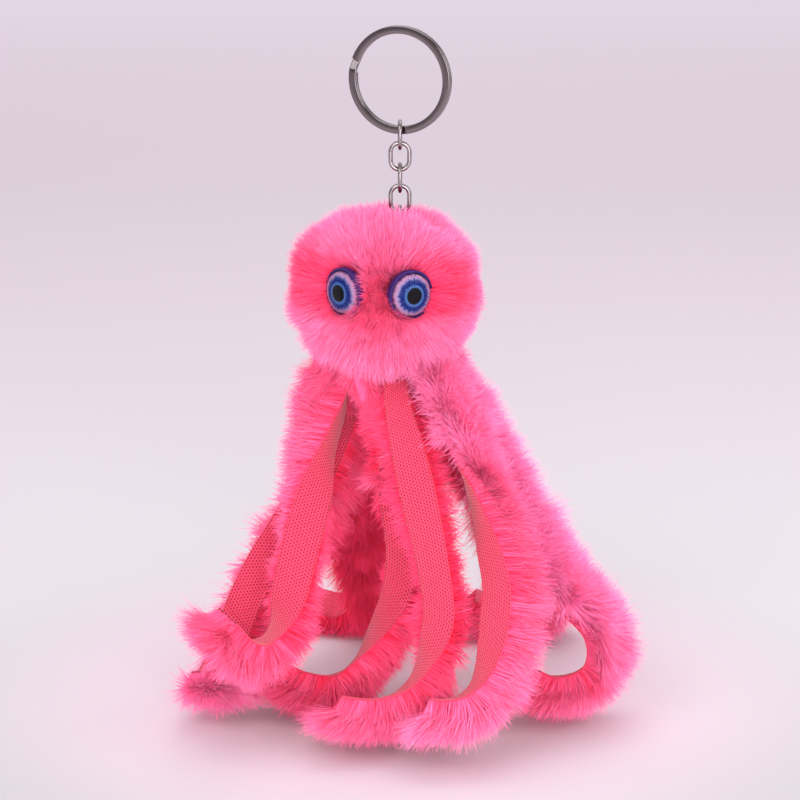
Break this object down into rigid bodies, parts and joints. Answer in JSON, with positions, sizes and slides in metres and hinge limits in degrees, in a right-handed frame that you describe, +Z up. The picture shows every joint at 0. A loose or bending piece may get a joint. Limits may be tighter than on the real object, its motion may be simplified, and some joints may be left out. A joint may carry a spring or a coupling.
{
  "type": "plush octopus key charm",
  "caption": "Fluffy fur octopus charm with domed eyes and curling fur-strip arms, hung by a short chain from a split key ring.",
  "frame": {"origin": "Middle of the split ring's inside, at its top, where the thread or hook that holds the charm up bears.", "axes": "+Z up along the hanging chain, the face with the two eyes towards -Y, +X to the right as seen from the face's side."},
  "size_m": [0.1282, 0.1249, 0.1947],
  "materials": {
    "steel": "polished",
    "pink_pile": "fluffy",
    "pink_knit": "matte",
    "white_stuffing": "matte",
    "pink_thread": "matte",
    "navy_plastic": "gloss",
    "blue_print": "gloss",
    "clear_plastic": "clear gloss",
    "white_plastic": "matte"
  },
  "bodies": {
    "key_ring": {"split_ring": "steel"},
    "link_1": {"chain_link_1": "steel"},
    "link_2": {"chain_link_2": "steel"},
    "link_3": {"chain_link_3": "steel"},
    "link_4": {"chain_link_4": "steel"},
    "link_5": {"chain_link_5": "steel"},
    "head": {"head_pile": "pink_pile", "head_backing": "pink_knit", "head_stuffing": "white_stuffing", "base_disc": "pink_knit", "draw_thread": "pink_thread", "hanging_loop": "pink_thread", "eye_cup_left": "navy_plastic", "eye_disc_left": "blue_print", "eye_dome_left": "clear_plastic", "eye_washer_left": "white_plastic", "eye_cup_right": "navy_plastic", "eye_disc_right": "blue_print", "eye_dome_right": "clear_plastic", "eye_washer_right": "white_plastic"},
    "arm_1": {"arm_1_tape": "pink_knit", "arm_1_pile": "pink_pile"},
    "arm_2": {"arm_2_tape": "pink_knit", "arm_2_pile": "pink_pile"},
    "arm_3": {"arm_3_tape": "pink_knit", "arm_3_pile": "pink_pile"},
    "arm_4": {"arm_4_tape": "pink_knit", "arm_4_pile": "pink_pile"},
    "arm_5": {"arm_5_tape": "pink_knit", "arm_5_pile": "pink_pile"},
    "arm_6": {"arm_6_tape": "pink_knit", "arm_6_pile": "pink_pile"},
    "arm_7": {"arm_7_tape": "pink_knit", "arm_7_pile": "pink_pile"},
    "arm_8": {"arm_8_tape": "pink_knit", "arm_8_pile": "pink_pile"}
  },
  "joints": [
    {"name": "link_1_swing", "type": "hinge", "parent": "key_ring", "child": "link_1", "pos_m": [0, 0, -0.0267], "axis": [0.9336, -0.3584, 0], "range_deg": [-30, 30]},
    {"name": "link_2_swing", "type": "hinge", "parent": "link_1", "child": "link_2", "pos_m": [0, 0, -0.03193], "axis": [0, 1, 0], "range_deg": [-30, 30]},
    {"name": "link_3_swing", "type": "hinge", "parent": "link_2", "child": "link_3", "pos_m": [0, 0, -0.03793], "axis": [1, 0, 0], "range_deg": [-30, 30]},
    {"name": "link_4_swing", "type": "hinge", "parent": "link_3", "child": "link_4", "pos_m": [0, 0, -0.04392], "axis": [0, 1, 0], "range_deg": [-30, 30]},
    {"name": "link_5_swing", "type": "hinge", "parent": "link_4", "child": "link_5", "pos_m": [0, 0, -0.04992], "axis": [1, 0, 0], "range_deg": [-10, 10]},
    {"name": "head_swing", "type": "hinge", "parent": "link_5", "child": "head", "pos_m": [0, 0, -0.05593], "axis": [0, 1, 0], "range_deg": [-10, 10]},
    {"name": "arm_1_swing", "type": "hinge", "parent": "head", "child": "arm_1", "pos_m": [-0.01439, -0.0016, -0.0895], "axis": [-0.1392, 0.9903, 0], "range_deg": [0, 25]},
    {"name": "arm_2_swing", "type": "hinge", "parent": "head", "child": "arm_2", "pos_m": [-0.00992, -0.00918, -0.0895], "axis": [-0.7986, 0.6018, 0], "range_deg": [-12, 0]},
    {"name": "arm_3_swing", "type": "hinge", "parent": "head", "child": "arm_3", "pos_m": [-0.0014, -0.01139, -0.0895], "axis": [-0.9903, -0.1392, 0], "range_deg": [-8, 0]},
    {"name": "arm_4_swing", "type": "hinge", "parent": "head", "child": "arm_4", "pos_m": [0.00618, -0.00692, -0.0895], "axis": [-0.6018, -0.7986, 0], "range_deg": [0, 25]},
    {"name": "arm_5_swing", "type": "hinge", "parent": "head", "child": "arm_5", "pos_m": [0.00839, 0.0016, -0.0895], "axis": [0.1392, -0.9903, 0], "range_deg": [0, 25]},
    {"name": "arm_6_swing", "type": "hinge", "parent": "head", "child": "arm_6", "pos_m": [0.00392, 0.00918, -0.0895], "axis": [0.7986, -0.6018, 0], "range_deg": [0, 25]},
    {"name": "arm_7_swing", "type": "hinge", "parent": "head", "child": "arm_7", "pos_m": [-0.0046, 0.01139, -0.0895], "axis": [0.9903, 0.1392, 0], "range_deg": [0, 25]},
    {"name": "arm_8_swing", "type": "hinge", "parent": "head", "child": "arm_8", "pos_m": [-0.01218, 0.00692, -0.0895], "axis": [0.6018, 0.7986, 0], "range_deg": [0, 25]}
  ]
}
